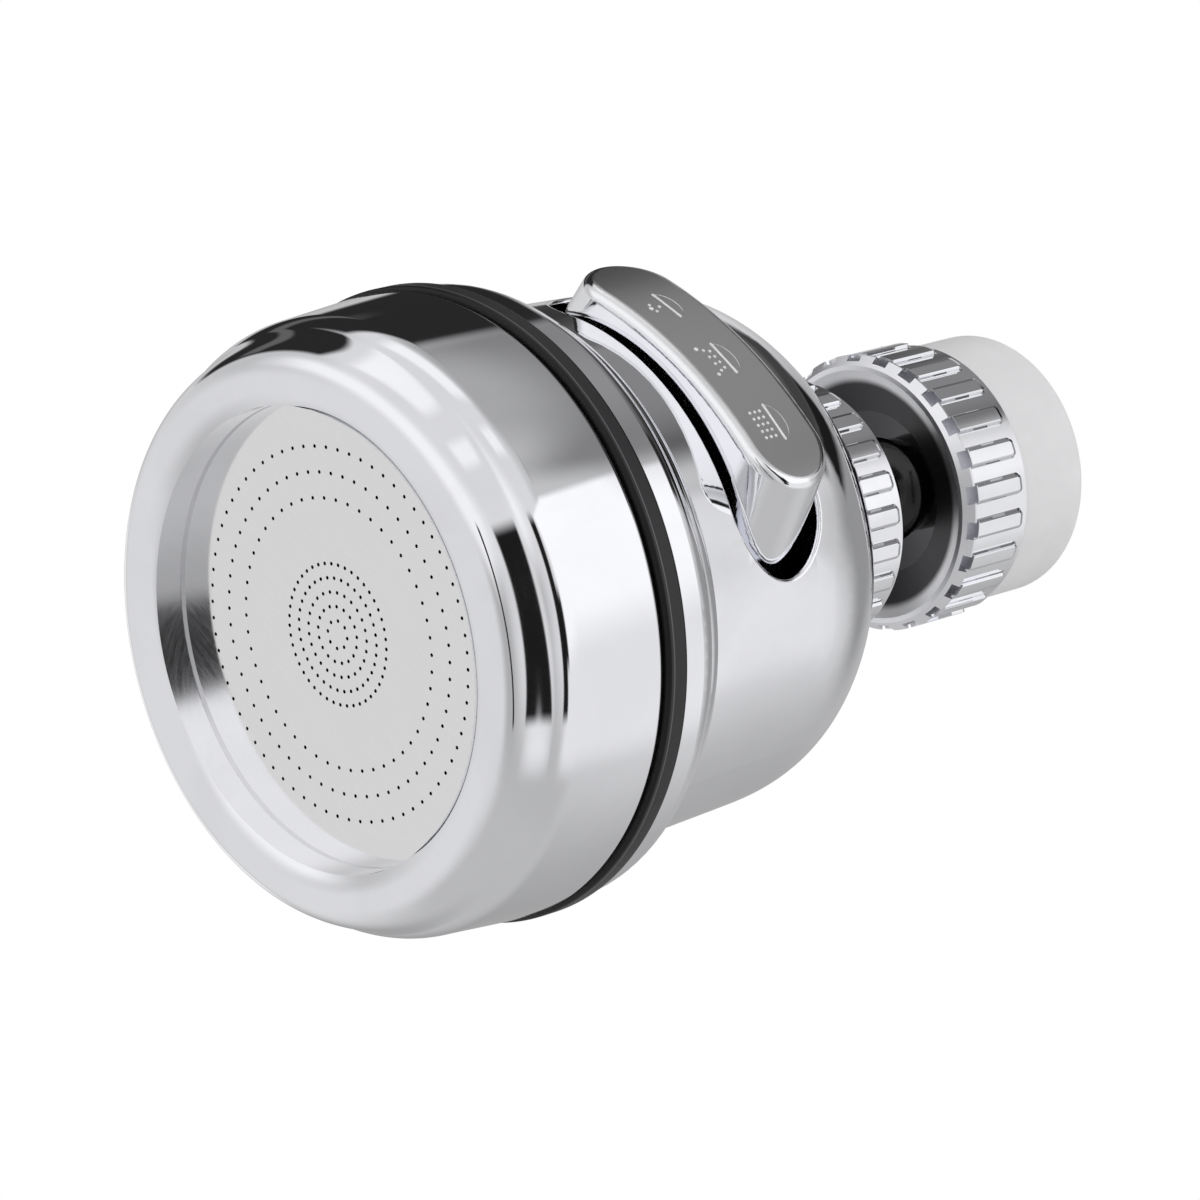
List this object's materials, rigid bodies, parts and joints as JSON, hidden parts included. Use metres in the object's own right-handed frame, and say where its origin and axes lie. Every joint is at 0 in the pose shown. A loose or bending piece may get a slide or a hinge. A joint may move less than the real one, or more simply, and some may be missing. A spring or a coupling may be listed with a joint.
{
  "type": "swivel faucet extender",
  "caption": "Chrome spray head on a ball joint that screws onto a tap's end, with a rocker lever that switches the spray and a perforated steel face.",
  "frame": {"origin": "middle of the tap connector's mouth, on the axis of its thread", "axes": "+Z along the thread's axis towards the tap, the spray face looks along -Z, the rocker lever faces -Y"},
  "size_m": [0.0602, 0.0602, 0.092],
  "materials": {
    "polished_chrome": "mirror-bright plating on moulded plastic",
    "satin_chrome": "plating with a satin top face",
    "frosted_plastic": "milky translucent moulding",
    "black_plastic": "smooth dark moulding",
    "plate_steel": "satin stainless sheet",
    "core_plastic": "plain off-white moulding",
    "seal_rubber": "soft black rubber"
  },
  "bodies": {
    "inlet": {"tap_connector": "frosted_plastic", "inlet_washer": "seal_rubber", "filter_screen": "plate_steel", "ball_seal": "seal_rubber", "ball_collar": "polished_chrome"},
    "slip_ring": {"slip_ring": "core_plastic"},
    "stem": {"ball_stem": "black_plastic"},
    "head": {"neck_nut": "polished_chrome", "neck_washer": "seal_rubber", "rear_housing": "polished_chrome", "lever_pin": "plate_steel", "valve_body": "core_plastic", "inlet_o_ring": "seal_rubber", "left_bore_plug": "core_plastic", "right_bore_plug": "core_plastic", "valve_gasket": "seal_rubber", "distributor": "core_plastic", "center_seal": "seal_rubber", "plate_gasket": "seal_rubber", "spray_plate": "plate_steel", "trim_ring": "black_plastic", "front_shell": "polished_chrome"},
    "lever": {"lever": "satin_chrome"},
    "spool": {"spool": "core_plastic", "spool_seals": "seal_rubber"}
  },
  "joints": [
    {"name": "ring_spin", "type": "hinge", "parent": "inlet", "child": "slip_ring", "pos_m": [0, 0, -0.01187], "axis": [0, 0, 1], "continuous": true},
    {"name": "ball_tilt", "type": "hinge", "parent": "slip_ring", "child": "stem", "pos_m": [0, 0, -0.01187], "axis": [1, 0, 0], "range_deg": [-20, 20]},
    {"name": "head_spin", "type": "hinge", "parent": "stem", "child": "head", "pos_m": [0, 0, -0.01187], "axis": [0, 0, 1], "continuous": true},
    {"name": "lever_rock", "type": "hinge", "parent": "head", "child": "lever", "pos_m": [0, -0.016, -0.0548], "axis": [0, 0, 1], "range_deg": [0, 10]},
    {"name": "spool_slide", "type": "slide", "parent": "head", "child": "spool", "axis": [1, 0, 0], "range_m": [-0.0018, 0]}
  ],
  "couplings": [
    {"joint": "spool_slide", "follows": "lever_rock", "m_per_rad": -0.01}
  ]
}
